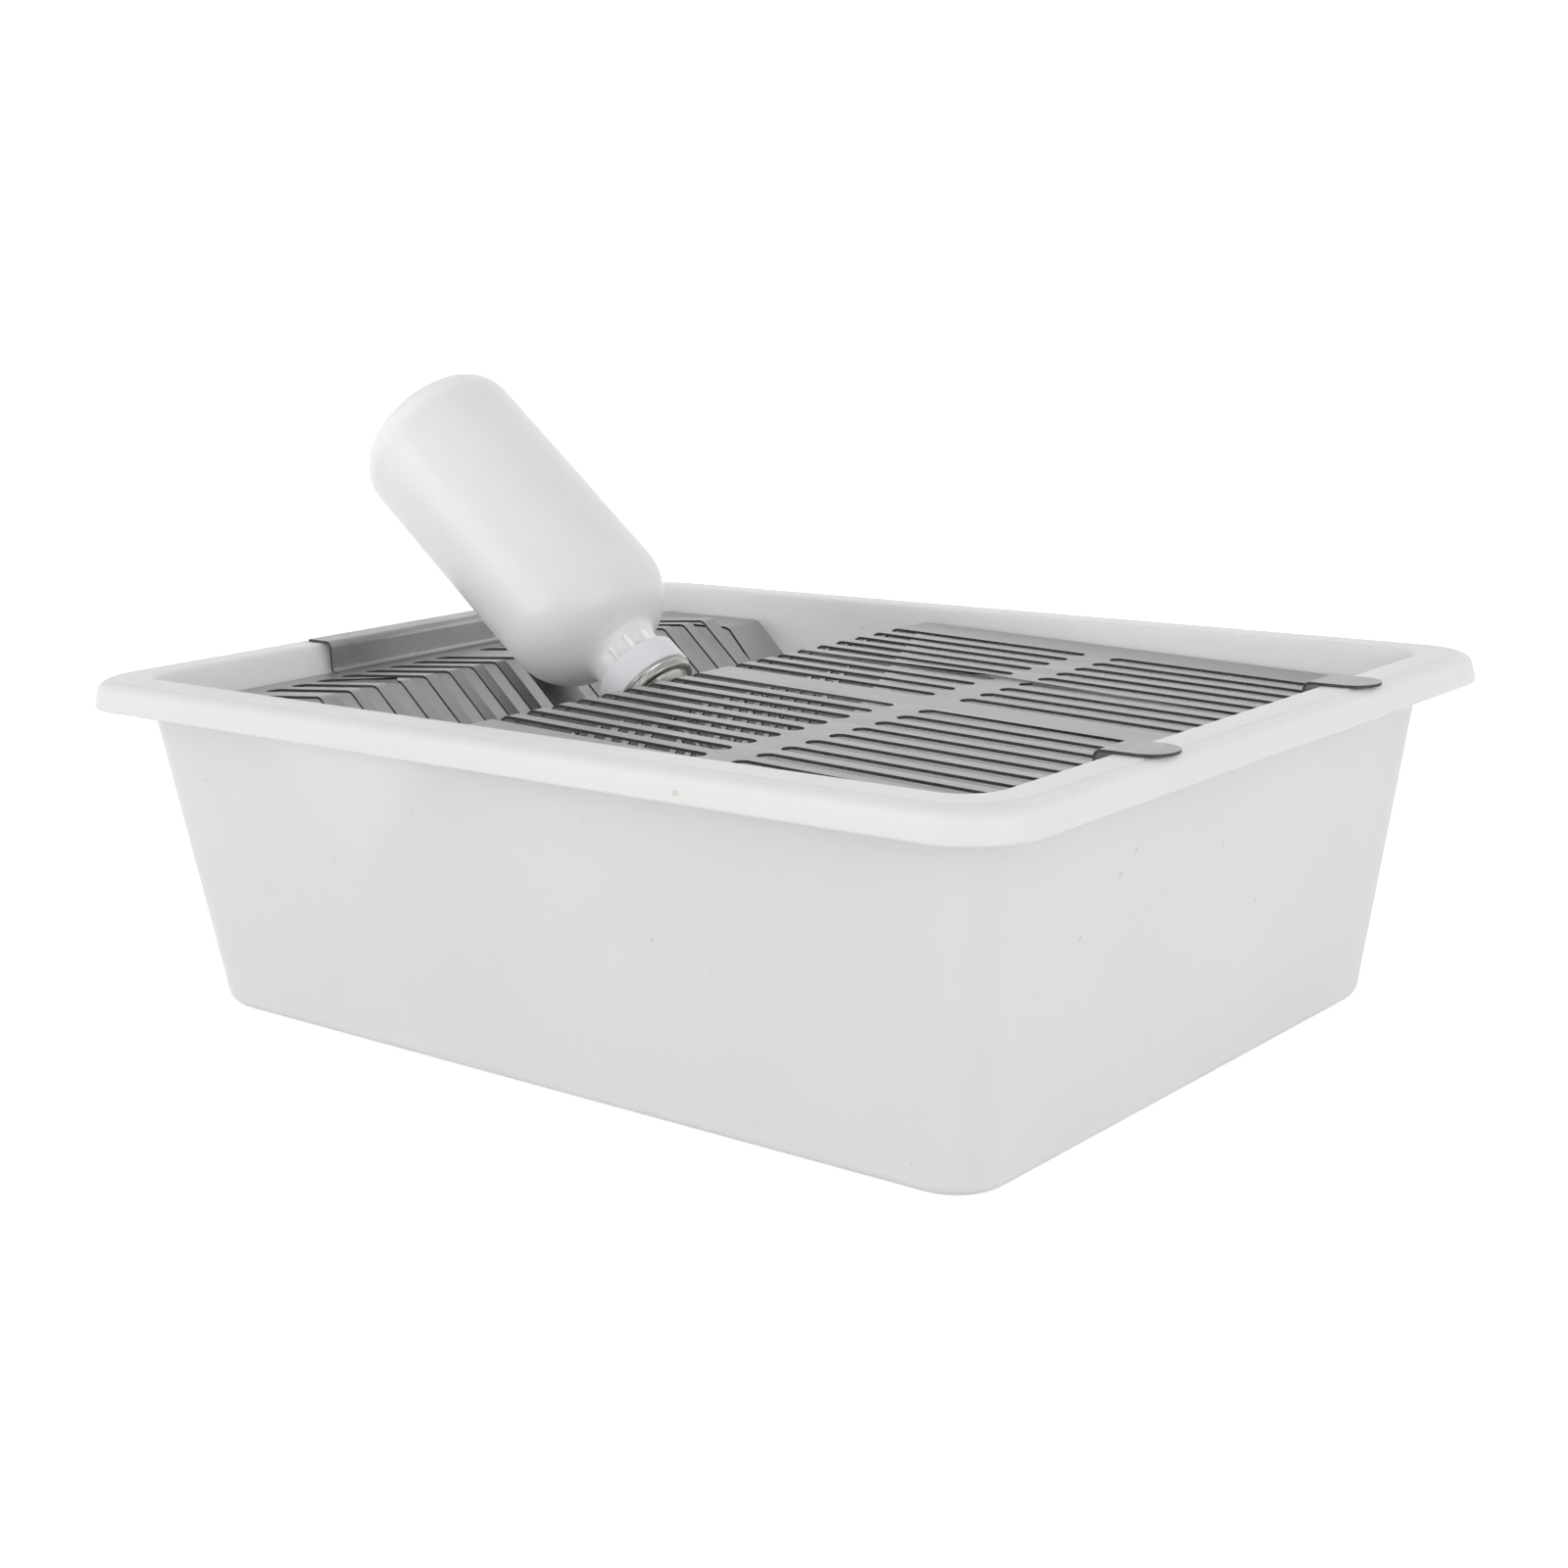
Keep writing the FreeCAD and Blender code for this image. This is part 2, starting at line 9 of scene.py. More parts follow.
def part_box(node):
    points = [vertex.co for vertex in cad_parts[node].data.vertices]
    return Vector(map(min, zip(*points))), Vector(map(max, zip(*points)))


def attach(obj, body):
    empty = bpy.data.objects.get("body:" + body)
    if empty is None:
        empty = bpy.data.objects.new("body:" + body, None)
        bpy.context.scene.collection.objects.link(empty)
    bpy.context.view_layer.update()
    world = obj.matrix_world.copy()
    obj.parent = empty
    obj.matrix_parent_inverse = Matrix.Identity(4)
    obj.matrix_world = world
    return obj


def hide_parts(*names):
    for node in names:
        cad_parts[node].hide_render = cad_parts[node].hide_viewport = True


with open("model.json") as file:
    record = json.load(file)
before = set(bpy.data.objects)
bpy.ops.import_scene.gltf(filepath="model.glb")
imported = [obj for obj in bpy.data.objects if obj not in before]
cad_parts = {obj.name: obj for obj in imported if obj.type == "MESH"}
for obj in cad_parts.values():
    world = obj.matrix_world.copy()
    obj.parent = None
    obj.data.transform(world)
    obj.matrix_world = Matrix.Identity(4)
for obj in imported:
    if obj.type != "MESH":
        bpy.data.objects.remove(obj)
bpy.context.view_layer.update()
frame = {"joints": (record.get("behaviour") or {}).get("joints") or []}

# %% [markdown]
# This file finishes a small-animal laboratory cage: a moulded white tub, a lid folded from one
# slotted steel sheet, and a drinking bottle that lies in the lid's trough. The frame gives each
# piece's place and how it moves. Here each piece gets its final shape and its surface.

MM = 0.001
tub_low, tub_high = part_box("tub")
rim_length = (tub_high[0] - tub_low[0]) / MM
print("rim is", round(rim_length, 1), "mm long and", round(tub_high[2] / MM, 1), "mm up")

# %% [markdown]
# Every turned, moulded or folded piece here starts as a flat outline with rounded corners. A
# corner is rounded by stepping back along both sides and drawing an arc between. One helper does
# this for the tub's wall, the bottle, the cap and the folds of the lid. Values that follow a
# corner's radius ride along, such as how round the tub is in plan at that height.

# %% Rounding an outline
ARC_STEPS = 6


def rounded(corners, steps=ARC_STEPS):
    """Turns (x, z, radius, extra...) corners into (x, z, extra...) points, each bend an arc."""
    points = []
    for i, corner in enumerate(corners):
        p, radius, extra = Vector(corner[:2]), corner[2], tuple(corner[3:])
        if i in (0, len(corners) - 1) or radius == 0:
            points.append(tuple(p) + extra)
            continue
        to_last = (Vector(corners[i - 1][:2]) - p).normalized()
        to_next = (Vector(corners[i + 1][:2]) - p).normalized()
        opening = to_last.angle(to_next)
        trim = radius / math.tan(opening / 2)
        centre = p + (to_last + to_next).normalized() * (radius / math.sin(opening / 2))
        start, end = p + to_last * trim - centre, p + to_next * trim - centre
        sweep = start.angle(end)
        for k in range(steps + 1):
            t = k / steps
            arm = start * math.sin((1 - t) * sweep) + end * math.sin(t * sweep)
            points.append(tuple(centre + arm / math.sin(sweep)) + extra)
    return points


# %% [markdown]
# A skin is pulled up ring by ring, as a potter pulls a wall. It starts from a circle that has as
# many corners as every ring needs. The open edge is extruded, and each new ring is set on the
# next section of the piece. Extruding keeps the faces in clean rows, which bend light smoothly.

# %% Pulling a skin through rings
def pull_skin(name, rings, closed=False):
    """A mesh through rings of points; closed joins the last ring to the first, else both are filled."""
    count = len(rings[0])
    bpy.ops.object.select_all(action="DESELECT")
    bpy.ops.mesh.primitive_circle_add(vertices=count, radius=MM)
    piece = bpy.context.object
    piece.name = piece.data.name = name
    bpy.ops.object.mode_set(mode="EDIT")
    bpy.ops.mesh.select_all(action="SELECT")
    places = {}
    for ring in rings:
        if places:
            bpy.ops.mesh.extrude_edges_move()
        skin = bmesh.from_edit_mesh(piece.data)
        picked = [v for v in skin.verts if v.select]
        order = [places[tuple(v.co)] for v in picked] if places else range(count)
        places = {}
        for vertex, k in zip(picked, order):
            vertex.co = ring[k]
            places[tuple(vertex.co)] = k
        bmesh.update_edit_mesh(piece.data)
    if not closed:
        bpy.ops.mesh.edge_face_add()
        bpy.ops.mesh.select_all(action="DESELECT")
    skin = bmesh.from_edit_mesh(piece.data)
    skin.verts.ensure_lookup_table()
    for vertex in skin.verts[:count]:
        vertex.select = True
    skin.select_flush(True)
    bmesh.update_edit_mesh(piece.data)
    if closed:
        bpy.ops.mesh.bridge_edge_loops()
    else:
        bpy.ops.mesh.edge_face_add()
    bpy.ops.mesh.select_all(action="SELECT")
    bpy.ops.mesh.normals_make_consistent(inside=False)
    bpy.ops.object.mode_set(mode="OBJECT")
    bpy.ops.object.shade_smooth_by_angle(angle=math.radians(40))
    print(name, "has", len(piece.data.polygons), "faces")
    return piece


# %% [markdown]
# The tub is one moulding. Its section runs from the middle of the underside, up the sloping outer
# wall, out and down inside the hollow rim, round the skirt, over the flat band at the top, and
# down the inner wall to the floor. Each point of that section becomes one rounded rectangle. The
# fourth value is the rectangle's corner radius there, because the rim is rounder than the wall.
# Outside the flat band a step half a millimetre high runs round the rim.

# %% The tub's section
RIM_HALF = tub_high[0] / MM
RIM_TOP = tub_high[2] / MM
RIM_OVER_WIDTH = (tub_high[0] - tub_high[1]) / MM
FLOOR_HALF = 171.8
WALL = 2.6
DRAFT = math.tan(math.radians(7.05))
SKIRT_FOOT = RIM_TOP - 10.3
SKIRT_WALL = 2.0
SKIRT_LEAN = 1.6
STEP_TOP = RIM_TOP - 0.5
HOLLOW_TOP = STEP_TOP - WALL
BAND_OUTER, BAND_INNER = 11.15, 10.85
RIM_CORNER, HOLLOW_CORNER, WALL_CORNER = 23, 21, 16
MOUTH_CORNER, INNER_CORNER = 14, 13.4


def outer_wall(z):
    """Half the outer wall's length at a height."""
    return FLOOR_HALF + DRAFT * z


inner_floor = outer_wall(WALL) - WALL
mouth = outer_wall(RIM_TOP) - WALL
tub_section = rounded([
    (FLOOR_HALF - 12, 0, 0, 9),
    (FLOOR_HALF, 0, 5.5, WALL_CORNER),
    (outer_wall(HOLLOW_TOP), HOLLOW_TOP, 1.0, WALL_CORNER),
    (RIM_HALF - 3.2, HOLLOW_TOP, 1.5, HOLLOW_CORNER),
    (RIM_HALF - SKIRT_WALL, SKIRT_FOOT, 0.5, HOLLOW_CORNER),
    (RIM_HALF, SKIRT_FOOT, 0.9, RIM_CORNER),
    (RIM_HALF - SKIRT_LEAN, STEP_TOP, 3.6, RIM_CORNER),
    (mouth + BAND_OUTER, STEP_TOP, 0.4, HOLLOW_CORNER),
    (mouth + BAND_INNER, RIM_TOP, 0.4, HOLLOW_CORNER),
    (mouth, RIM_TOP, 1.6, MOUTH_CORNER),
    (inner_floor, WALL, 3.3, INNER_CORNER),
    (inner_floor - 10, WALL, 0, 8),
])
print("the tub's section has", len(tub_section), "points")


# %% Rounded rectangles
CORNER_STEPS = 14


def rectangle_ring(half_length, z, corner):
    """A rounded rectangle's points at a height, in metres."""
    half_width = half_length - RIM_OVER_WIDTH
    ring = []
    for quarter in range(4):
        sx, sy = ((1, 1), (-1, 1), (-1, -1), (1, -1))[quarter]
        for k in range(CORNER_STEPS + 1):
            angle = math.radians(90) * (quarter + k / CORNER_STEPS)
            x = sx * (half_length - corner) + corner * math.cos(angle)
            y = sy * (half_width - corner) + corner * math.sin(angle)
            ring.append(Vector((x, y, z)) * MM)
    return ring


tub = pull_skin("tub_moulding", [rectangle_ring(*point) for point in tub_section])

# %% [markdown]
# The bottle, its collar, its cap and its tube are all turned shapes on one slanting axis. The frame
# knows that axis: it is the hinge that the collar turns on, and it starts at the hole in the
# trough's wall. Distances are measured from the bottle's shoulder, along the axis.

# %% The bottle's axis
hinge = next(joint for joint in frame["joints"] if joint["name"] == "collar_turn")
axis = Vector(hinge["axis"]).normalized()
BOTTLE_RADIUS = 32.5
DOME_RADIUS = 24.0
NECK_RADIUS = 13.8
NECK_FILLET = 6.0
COLLAR_TOP = 16.9
COLLAR_FOOT = 17.1
CAP_FOOT = 15.9
COLLAR_STANDOFF = 5.7
COLLAR_LENGTH = 10.6
NECK_SETBACK = 0.4
COLLAR_PLUG = 2.4
CAP_RIM_GAP = 0.1
CAP_LENGTH = 3.9
CONE_LENGTH = 11.2
TUBE_REACH = 45
CAP_SEAT_GAP = 0.5
dome_centre = BOTTLE_RADIUS - DOME_RADIUS
dome_turn = math.acos((NECK_RADIUS + NECK_FILLET - dome_centre) / (DOME_RADIUS + NECK_FILLET))
neck_root = (DOME_RADIUS + NECK_FILLET) * math.sin(dome_turn)
collar_start = neck_root + COLLAR_STANDOFF
collar_end = collar_start + COLLAR_LENGTH
neck_end = collar_end - NECK_SETBACK
foot_end = collar_end + COLLAR_PLUG
cap_start = collar_end + CAP_RIM_GAP
cap_end = cap_start + CAP_LENGTH
cone_tip = cap_end + CONE_LENGTH
tube_end = cap_end + TUBE_REACH
lie = Vector((1, 0, 0)).rotation_difference(axis).to_matrix().to_4x4()
shoulder_place = Vector(hinge["pos_m"]) - axis * (cone_tip + CAP_SEAT_GAP) * MM
axis_place = Matrix.Translation(shoulder_place) @ lie
print("the bottle leans", round(math.degrees(math.asin(-axis.z)), 1), "degrees")


# %% Turned rings
ROUND_STEPS = 144


def turned_ring(along, radius, swell=None):
    """A circle about the bottle's axis; swell gives extra radius at an angle in degrees."""
    ring = []
    for k in range(ROUND_STEPS):
        angle = math.radians(360) * k / ROUND_STEPS
        r = radius + (swell(along, math.degrees(angle)) if swell else 0)
        point = Vector((along, r * math.sin(angle), r * math.cos(angle))) * MM
        ring.append(axis_place @ point)
    return ring


# %% [markdown]
# The bottle is blown from thin plastic. Its section is a dished base, a straight side, a domed
# shoulder and a neck, and then the same again inside for the wall. Three small ribs stand on each
# side of the shoulder, just above the collar. They are pulled out of the same skin.

# %% The bottle
BASE = -104.9
SIDE_START = -92
SIDE_STEPS = 6
BOTTLE_WALL = 1.5
RIB_STEP = 30.0
RIB_MIDDLE = 32.0
RIB_HEIGHT = 1.5
RIB_HALF_WIDTH = 6.0
RIB_LENGTH = 6.3
NECK_STEP = 0.7


def shoulder(inset, steps=16):
    """The dome and the hollow curve after it as (along, radius) points, down to the neck."""
    dome, hollow = DOME_RADIUS - inset, NECK_FILLET + inset
    turns = [dome_turn * k / steps for k in range(steps + 1)]
    points = [(dome * math.sin(a), dome_centre + dome * math.cos(a)) for a in turns]
    high = NECK_RADIUS + NECK_FILLET
    points += [(neck_root - hollow * math.sin(a), high - hollow * math.cos(a)) for a in turns[-2::-1]]
    return points


def ribs(along, degrees):
    """Extra radius at the ribs: smooth humps near the collar."""
    if not collar_start - RIB_LENGTH - 1 < along < collar_start:
        return 0
    across = (degrees + RIB_MIDDLE) % 180
    nearest = min(abs(across - RIB_STEP * k) for k in (-1, 0, 1, 5, 6, 7))
    run = (collar_start - along) / RIB_LENGTH
    hump = math.cos(min(1, nearest / RIB_HALF_WIDTH) * math.pi / 2) ** 2
    return RIB_HEIGHT * hump * min(1, max(0, 1.15 - run) * 3)


side = rounded([
    (BASE + 2, 0.4, 0), (BASE + 2, 15, 2), (BASE, 17.5, 2), (BASE, BOTTLE_RADIUS, 11),
    (SIDE_START, BOTTLE_RADIUS, 0),
])
straight = [(SIDE_START - SIDE_START * k / SIDE_STEPS, BOTTLE_RADIUS) for k in range(1, SIDE_STEPS)]
fine_shoulder = shoulder(0, 30)
ribbed_neck = [(neck_root + NECK_STEP * k, NECK_RADIUS) for k in range(1, 9)]
lip = rounded([
    (collar_start, NECK_RADIUS, 0), (neck_end, NECK_RADIUS, 0.4),
    (neck_end, NECK_RADIUS - BOTTLE_WALL, 0.4), (neck_root, NECK_RADIUS - BOTTLE_WALL, 0),
])
inside = shoulder(BOTTLE_WALL)[::-1][1:] + [
    (BASE + 12, BOTTLE_RADIUS - BOTTLE_WALL), (BASE + 4.2, BOTTLE_RADIUS - 6),
    (BASE + 3.5, 18), (BASE + 3.5, 0.4),
]
bottle_section = side + straight + fine_shoulder + ribbed_neck + lip + inside
bottle = pull_skin("bottle_blown", [turned_ring(s, r, ribs) for s, r in bottle_section])

# %% [markdown]
# The collar is a soft sleeve that is slightly tapered, with a rounded upper edge. The cap under it
# is pressed steel: a rolled lip, and a cone whose end sits in the trough wall's hole. The drinking
# tube is drawn down to a small hole at its tip. Their sections are closed, so the last ring is
# bridged to the first.

# %% Collar, cap and tube
TUBE_RADIUS = 4
TUBE_BORE = 3
TIP_RADIUS = 2.8
TIP_BORE = 1.6
TIP_LENGTH = 8
CAP_SHEET = 0.6
collar_bore = NECK_RADIUS + 0.1
tube_start = cone_tip - 3.2
tip_start = tube_end - TIP_LENGTH
collar_section = rounded([
    (collar_start, collar_bore, 0.3), (collar_start, COLLAR_TOP, 0.9),
    (collar_end, COLLAR_FOOT, 0.4), (collar_end, COLLAR_FOOT - 1, 0),
    (foot_end, CAP_FOOT - CAP_SHEET, 0), (foot_end, collar_bore, 0),
])
collar = pull_skin("collar_sleeve", [turned_ring(s, r) for s, r in collar_section], closed=True)
cap_section = rounded([
    (cap_start, COLLAR_FOOT, 0.3), (cap_start + 1.1, COLLAR_FOOT - 0.3, 0.5),
    (cap_start + 1.5, COLLAR_FOOT - 0.6, 0.4), (cap_end - 0.6, CAP_FOOT + 0.1, 0.3),
    (cap_end, CAP_FOOT - 0.4, 0.6), (cap_end, CAP_FOOT - 1.9, 0.5),
    (cap_end - 0.4, CAP_FOOT - 2.3, 0.5), (cone_tip, 6.3, 0.5),
    (cone_tip, TUBE_RADIUS, 0), (cone_tip - 1.2, TUBE_RADIUS, 0), (cone_tip - 1.2, 5.9, 0.3),
    (foot_end + 0.3, 13.0, 0.5), (foot_end + 0.3, CAP_FOOT - CAP_SHEET, 0.4),
    (cap_start, COLLAR_FOOT - 0.9, 0),
])
cap = pull_skin("cap_pressing", [turned_ring(s, r) for s, r in cap_section], closed=True)
tube_section = rounded([
    (tube_start, TUBE_BORE, 0), (tube_start, TUBE_RADIUS, 0.2), (tip_start, TUBE_RADIUS, 6),
    (tube_end, TIP_RADIUS, 0.4), (tube_end, TIP_BORE, 0.2), (tip_start, TUBE_BORE, 0),
])
tube = pull_skin("tube_drawn", [turned_ring(s, r) for s, r in tube_section], closed=True)

# %% [markdown]
# The lid is one sheet. In the shop it is laser-cut flat and then folded, and it is made the same
# way here. The side view of the folded lid gives a path. Its length from the hook's tip tells
# where each fold and each slot lies on the flat sheet.

# %% The lid's side view
SHEET = 1.0
RISER_HEIGHT = 11.1
HOOK_REACH = 13.3
TAB_REACH = 23
LEDGE_RUN, LEDGE_RISE = 57.3, 4.5
SLOPE_WAY = Vector((50.0, -45.0))
TROUGH_WALL_WAY = Vector((41.6, 46.9))
GRILLE_WAY = Vector((208.9, -7.0))
FOLD = 3.5
HOOK_FOLD = 1.8
FOLD_STEPS = 8
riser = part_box("ledge_panel")[0][0] / MM
hook_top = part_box("hook_flange")[1][2] / MM
ledge_end = hook_top - SHEET - RISER_HEIGHT
peak = Vector((riser + LEDGE_RUN, ledge_end + LEDGE_RISE))
trough_foot = peak + SLOPE_WAY
grille_bend = trough_foot + TROUGH_WALL_WAY
grille_end = grille_bend + GRILLE_WAY
side_view = [Vector(point) for point in rounded([
    (riser - HOOK_REACH, hook_top, 0), (riser, hook_top, HOOK_FOLD + SHEET), (riser, ledge_end, HOOK_FOLD),
    (*peak, FOLD + SHEET), (*trough_foot, FOLD), (*grille_bend, FOLD + SHEET), (*grille_end, HOOK_FOLD),
    (grille_end[0], hook_top, HOOK_FOLD + SHEET), (grille_end[0] + TAB_REACH, hook_top, 0),
], steps=FOLD_STEPS)]
stations = [0.0]
for a, b in zip(side_view, side_view[1:]):
    stations.append(stations[-1] + (b - a).length)
print("the flat sheet is", round(stations[-1], 1), "mm long")


# %% Between the side view and the flat sheet
def flat_place(point):
    """How far along the flat sheet a point of the side view lies."""
    best = (1e9, 0)
    for a, b, start in zip(side_view, side_view[1:], stations):
        leg = b - a
        t = min(1, max(0, (point - a).dot(leg) / leg.length_squared))
        best = min(best, ((point - a - leg * t).length, start + leg.length * t))
    return best[1]


def folded_place(s):
    """The side view's point at a distance along the flat sheet."""
    for a, b, start, end in zip(side_view, side_view[1:], stations, stations[1:]):
        if s <= end or b is side_view[-1]:
            return a + (b - a) * ((s - start) / (end - start))


def toward(a, b, distance):
    """The point at a distance from a towards b."""
    return a + (b - a).normalized() * distance


# %% [markdown]
# The flat sheet is drawn as a filled curve: one outline with the hook and the two tabs on its ends,
# and a hole for each slot. Slots over the ledge and the trough are one long row, and the grille
# has two more rows with a crossbar between them. Drawing it flat keeps every slot end truly round.

# %% The flat sheet's outline
HALF_LID = 131.0
HALF_LID_AT_PEAK = HALF_LID - 0.15
HOOK_HALF = 52.6
TAB_HALF = 8.5
TAB_MIDDLE = 64.0
RELIEF = 1.2
RELIEF_DEPTH = 5.0
TROUGH_TAPER = 3.7
LID_CORNER = 11.0
PAST_HOOK_FOLD = 6
PAST_TAB_FOLD = 6.5
hook_foot = Vector((riser, ledge_end))
ledge_edge = flat_place(toward(hook_foot, peak, PAST_HOOK_FOLD)) - PAST_HOOK_FOLD
tab_root = flat_place(toward(grille_end, grille_bend, PAST_TAB_FOLD))
grille_edge = tab_root + PAST_TAB_FOLD
sheet_end = stations[-1]


def corner_arc(s, y, radius, start, sweep=90, steps=8):
    """Points of an arc on the flat sheet, from one angle to another in degrees."""
    angles = [math.radians(start + sweep * k / steps) for k in range(steps + 1)]
    return [(s + radius * math.cos(a), y + radius * math.sin(a)) for a in angles]


def half_outline():
    """The outline's far side, from the hook's tip to the middle of the grille's end."""
    s_peak, s_foot, s_bend = flat_place(peak), flat_place(trough_foot), flat_place(grille_bend)
    points = [(0, HOOK_HALF), (ledge_edge + RELIEF_DEPTH, HOOK_HALF)]
    points += [(ledge_edge + RELIEF_DEPTH, HOOK_HALF + RELIEF), (ledge_edge, HOOK_HALF + RELIEF)]
    points += corner_arc(ledge_edge + LID_CORNER, HALF_LID - LID_CORNER, LID_CORNER, 180, -90)
    points += [(s_peak, HALF_LID_AT_PEAK), (s_foot, HALF_LID - TROUGH_TAPER), (s_bend, HALF_LID)]
    points += corner_arc(grille_edge - LID_CORNER, HALF_LID - LID_CORNER, LID_CORNER, 90, -90)
    top, low = TAB_MIDDLE + TAB_HALF, TAB_MIDDLE - TAB_HALF
    points += [(grille_edge, top + RELIEF), (tab_root, top + RELIEF), (tab_root, top)]
    points += corner_arc(sheet_end - TAB_HALF, TAB_MIDDLE, TAB_HALF, 90, -180, 20)
    points += [(tab_root, low), (tab_root, low - RELIEF), (grille_edge, low - RELIEF)]
    return points


# %% [markdown]
# The rows of slots start and end at a distance from the nearest fold. A slit beside the last row
# parts the strips from the plain strip of sheet outside them, here called the wing, and gapes
# where the two fold apart.

# %% Slots and slits
PITCH = 12.0
SLOT_HALF = 3.4
SLOT_COUNT = 9
CROSSBAR = 11.8
END_BORDER = 8.5
TUBE_HOLE = 5.5
WING_EDGE = SLOT_COUNT * PITCH
SLIT_GAPE, SLIT_LENGTH = 7, 25
trough_row = (flat_place(toward(hook_foot, peak, 15.5)),
              flat_place(toward(grille_bend, trough_foot, 18)))
near_row = (flat_place(toward(grille_bend, trough_foot, 4.5)),
            flat_place(toward(grille_bend, grille_end, 91.4)))
far_row = (near_row[1] + CROSSBAR, grille_edge - END_BORDER)
s_peak = flat_place(peak)
wing_start = flat_place(toward(hook_foot, peak, 12))


def slot_outline(row, y, half=SLOT_HALF):
    """A round-ended slot between two places along the flat sheet."""
    start, end = row[0] + half, row[1] - half
    return corner_arc(start, y, half, 90, 180, 10) + corner_arc(end, y, half, -90, 180, 10)


def slit_outline(way):
    """The slit between the last strip and the wing, on one side of the sheet."""
    gape, end = s_peak + SLIT_GAPE, s_peak + SLIT_LENGTH
    shape = [(wing_start, -0.2), (wing_start, 0), (s_peak, 0.4), (gape, 2.6),
             (end, 0.1), (end, -0.2), (gape, -1.2), (s_peak, -1.2)]
    return [(s, way * (WING_EDGE + out)) for s, out in shape]


hole_place = flat_place(Vector((hinge["pos_m"][0], hinge["pos_m"][2])) / MM)
holes = [corner_arc(hole_place, 0, TUBE_HOLE, 0, 352, 44)]
for way in (-1, 1):
    for i in range(1, SLOT_COUNT + 1):
        y = way * i * PITCH
        if i < SLOT_COUNT:
            holes.append(slot_outline(trough_row, y))
        holes += [slot_outline(near_row, y), slot_outline(far_row, y)]
    holes.append(slit_outline(way))
print("the sheet has", len(holes), "holes")


# %% Drawing the flat sheet
def flat_sheet(outlines):
    """A filled flat mesh from closed outlines; those inside the first are holes."""
    drawing = bpy.data.curves.new("lid_drawing", "CURVE")
    drawing.dimensions = "2D"
    drawing.fill_mode = "BOTH"
    for outline in outlines:
        spline = drawing.splines.new("POLY")
        spline.points.add(len(outline) - 1)
        for point, (s, y) in zip(spline.points, outline):
            point.co = (s * MM, y * MM, 0, 1)
        spline.use_cyclic_u = True
    sheet = bpy.data.objects.new("lid_sheet", drawing)
    bpy.context.collection.objects.link(sheet)
    bpy.ops.object.select_all(action="DESELECT")
    sheet.select_set(True)
    bpy.context.view_layer.objects.active = sheet
    bpy.ops.object.convert(target="MESH")
    return bpy.context.object


far_side = half_outline()
outline = far_side + [(s, -y) for s, y in far_side[::-1]]
lid = flat_sheet([outline] + holes)

# %% [markdown]
# A flat face can only fold where it has an edge. The sheet is bisected at every step of every fold,
# and then each corner is moved from its place on the flat sheet to its place on the side view.
# The ledge and the grille run straight past the hook's and the tabs' folds, because those folds
# belong only to the narrow tongues. Outside the last slit at each side, a plain wing folds a few
# millimetres further down the slope than the strips do.

# %% The wings' own fold
WING_DROP = 5.6
WING_END = 12
wing_end = flat_place(toward(trough_foot, peak, WING_END))
wing_view = [Vector(point) for point in rounded([
    (*folded_place(wing_start), 0), (*toward(peak, trough_foot, WING_DROP), FOLD + SHEET),
    (*folded_place(wing_end), 0),
], steps=FOLD_STEPS)]
wing_lengths = [0.0]
for a, b in zip(wing_view, wing_view[1:]):
    wing_lengths.append(wing_lengths[-1] + (b - a).length)
wing_span = wing_end - wing_start
wing_stations = [wing_start + wing_span * length / wing_lengths[-1] for length in wing_lengths]


def wing_place(s):
    """The wing's point at a distance along the flat sheet."""
    for a, b, start, end in zip(wing_view, wing_view[1:], wing_stations, wing_stations[1:]):
        if s <= end or b is wing_view[-1]:
            return a + (b - a) * ((s - start) / (end - start))


# %% Folding the sheet
TOUCH = 0.01
bpy.ops.object.mode_set(mode="EDIT")
bpy.ops.mesh.select_all(action="SELECT")
bpy.ops.mesh.remove_doubles(threshold=0.00001)
for place in stations[1:-1] + wing_stations:
    bpy.ops.mesh.select_all(action="SELECT")
    bpy.ops.mesh.bisect(plane_co=(place * MM, 0, 0), plane_no=(1, 0, 0))
bpy.ops.object.mode_set(mode="OBJECT")
flat_map = lid.data.uv_layers.new(name="flat_sheet")
for loop in lid.data.loops:
    place = lid.data.vertices[loop.vertex_index].co
    flat_map.data[loop.index].uv = (place.x, place.y)
straight_from = ledge_edge + PAST_HOOK_FOLD
straight_to = tab_root
ledge_way = (folded_place(straight_from + 1) - folded_place(straight_from)).normalized()
grille_way = (folded_place(straight_to) - folded_place(straight_to - 1)).normalized()
for vertex in lid.data.vertices:
    s, y = vertex.co.x / MM, vertex.co.y / MM
    on_hook = abs(y) < HOOK_HALF + TOUCH
    on_tab = abs(abs(y) - TAB_MIDDLE) < TAB_HALF + TOUCH
    if s < straight_from and not on_hook:
        x, z = folded_place(straight_from) + ledge_way * (s - straight_from)
    elif s > straight_to and not on_tab:
        x, z = folded_place(straight_to) + grille_way * (s - straight_to)
    elif wing_start < s < wing_end and abs(y) > WING_EDGE - 0.05:
        x, z = wing_place(s)
    else:
        x, z = folded_place(s)
    vertex.co = Vector((x, y, z)) * MM
print("the folded sheet has", len(lid.data.vertices), "corners")

# %% [markdown]
# Thickness comes last. Solidify grows the sheet downwards by one millimetre and gives the new cut
# faces their own material, because a laser leaves them dark. A very small bevel then breaks the
# edges, which is what catches the light along every slot.

